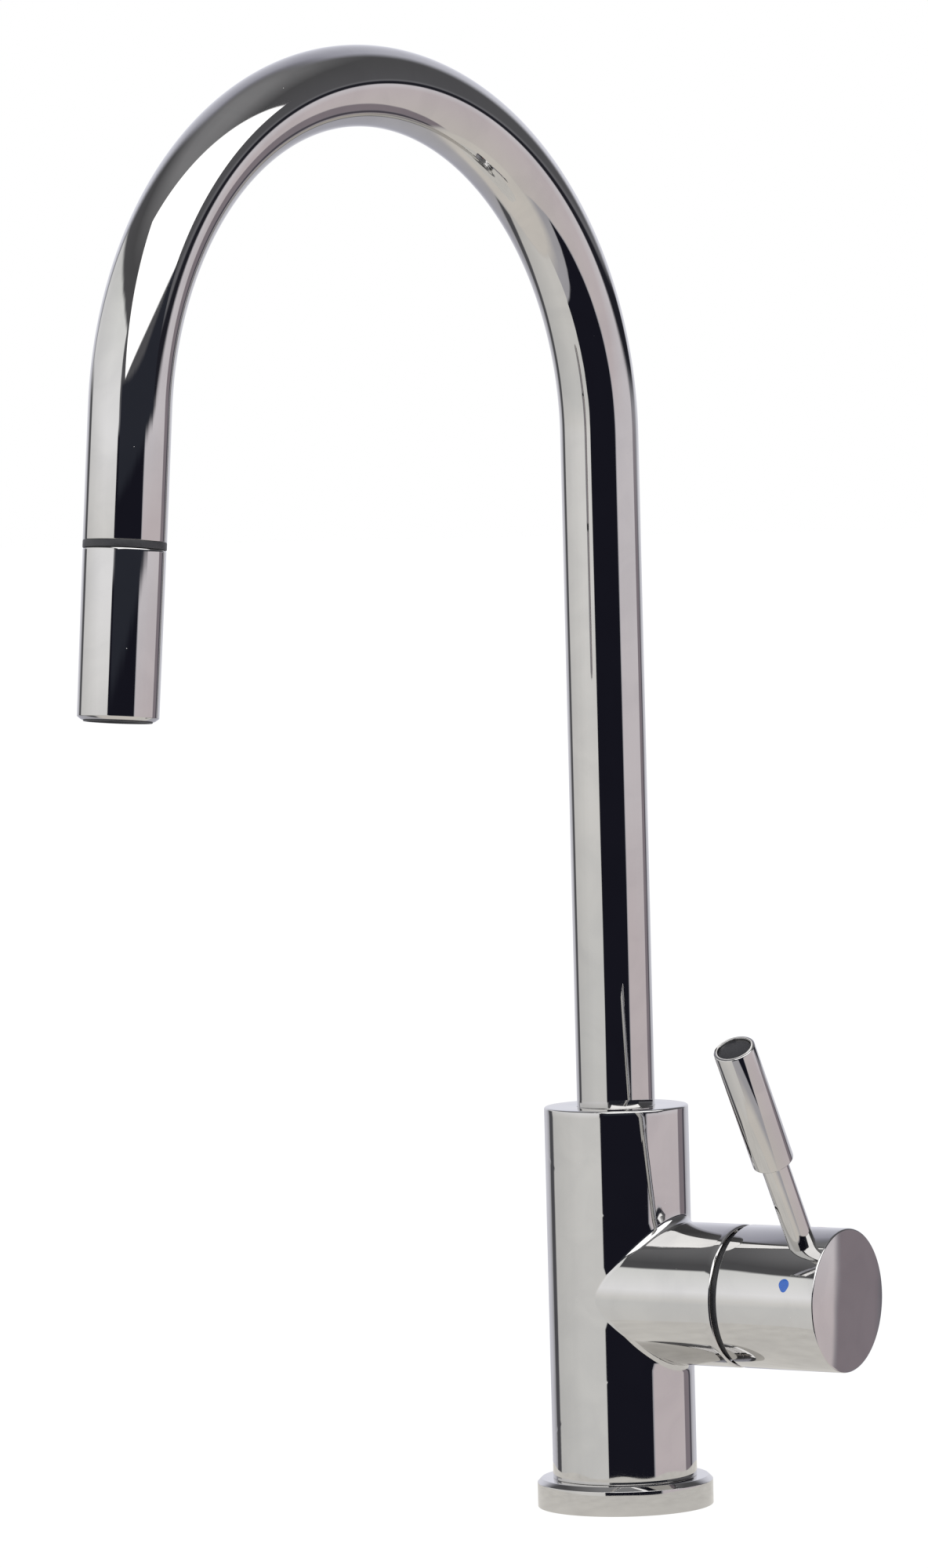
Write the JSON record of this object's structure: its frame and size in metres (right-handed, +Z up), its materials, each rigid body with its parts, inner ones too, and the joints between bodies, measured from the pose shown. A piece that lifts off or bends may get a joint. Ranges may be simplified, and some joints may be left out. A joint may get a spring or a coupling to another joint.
{
  "type": "pull-down kitchen faucet",
  "caption": "Single-hole kitchen faucet with a tall round arch spout, a pull-down spray head on a hose, and a side mixer with a pin lever.",
  "frame": {"origin": "on the spout swivel axis, in the plane of the deck under the base flange", "axes": "+Z up along the riser; the spout reaches along -Y at rest; the side branch points along +X, turned 8.8 degrees towards +Y"},
  "size_m": [0.1249, 0.2941, 0.5935],
  "materials": {
    "polished_steel": "mirror-polished stainless steel",
    "black_plastic": "satin black acetal",
    "black_rubber": "matt EPDM rubber",
    "brass": "turned brass",
    "raw_steel": "zinc-plated steel",
    "ceramic": "lapped alumina ceramic",
    "grey_plastic": "glass-filled nylon",
    "white_plastic": "white acetal",
    "hose_braid": "braided nylon sleeve",
    "blue_mark": "blue enamel",
    "red_mark": "red enamel"
  },
  "bodies": {
    "body": {"valve_body": "polished_steel", "base_flange": "polished_steel", "deck_gasket": "black_rubber", "centring_ring": "white_plastic", "mounting_shank": "brass", "spout_rest_ring": "white_plastic", "spout_lock_screw": "raw_steel", "hose_in_body": "hose_braid", "hose_lower_fitting": "brass", "mixed_outlet_pipe": "raw_steel", "cartridge_base": "grey_plastic", "cartridge_seals": "black_rubber", "fixed_ceramic_disc": "ceramic", "cartridge_housing": "grey_plastic", "cartridge_nut": "brass", "trim_collar": "black_plastic"},
    "clamp": {"clamp_gasket": "black_rubber", "clamp_washer": "raw_steel", "mounting_nut": "brass", "jack_screws": "raw_steel"},
    "spout": {"spout_tube": "polished_steel", "spout_sleeve": "brass", "spout_friction_rings": "black_rubber", "docking_collar": "black_plastic", "hose_in_spout": "hose_braid", "hose_in_leg": "hose_braid"},
    "hose_end": {"hose_ferrule": "raw_steel", "hose_end_fitting": "brass"},
    "spray_head": {"hose_swivel_nut": "brass", "head_gasket": "black_rubber", "check_valve": "white_plastic", "head_core": "black_plastic", "head_shell": "polished_steel", "aerator_housing": "black_plastic", "aerator_gasket": "black_rubber", "aerator_insert": "grey_plastic"},
    "mixer": {"mixer_guide": "white_plastic", "pivot_pin": "raw_steel"},
    "mixing_disc": {"moving_ceramic_disc": "ceramic", "disc_driver": "grey_plastic"},
    "handle": {"valve_stem": "brass", "handle_cap": "polished_steel", "lever_stem": "polished_steel", "lever_grip": "polished_steel", "grip_end_plug": "black_plastic", "cold_index": "blue_mark", "hot_index": "red_mark", "handle_set_screw": "raw_steel"}
  },
  "joints": [
    {"name": "spout_swivel", "type": "hinge", "parent": "body", "child": "spout", "pos_m": [0, 0, 0.117], "axis": [0, 0, 1], "continuous": true},
    {"name": "head_pull", "type": "slide", "parent": "spout", "child": "hose_end", "axis": [0, -0.0958, -0.9954], "range_m": [0, 0.25], "stiffness_N_per_m": 5, "springref_m": -1, "deforming": ["hose_in_leg"]},
    {"name": "head_turn", "type": "hinge", "parent": "hose_end", "child": "spray_head", "pos_m": [0, -0.23777, 0.33742], "axis": [0, -0.0958, -0.9954], "continuous": true},
    {"name": "temperature", "type": "hinge", "parent": "body", "child": "mixer", "pos_m": [0.03597, 0.00557, 0.0746], "axis": [0.9882, 0.153, 0], "range_deg": [-81.5, 18.5]},
    {"name": "flow", "type": "hinge", "parent": "mixer", "child": "handle", "pos_m": [0.03597, 0.00557, 0.0746], "axis": [-0.1304, 0.8426, 0.5225], "range_deg": [0, 22]},
    {"name": "disc_slide", "type": "slide", "parent": "mixer", "child": "mixing_disc", "axis": [0.0799, -0.5163, 0.8526], "range_m": [0, 0.0033]},
    {"name": "nut_travel", "type": "slide", "parent": "body", "child": "clamp", "axis": [0, 0, -1], "range_m": [-0.024, 0.07]}
  ],
  "couplings": [
    {"joint": "disc_slide", "follows": "flow", "m_per_rad": 0.0082}
  ]
}
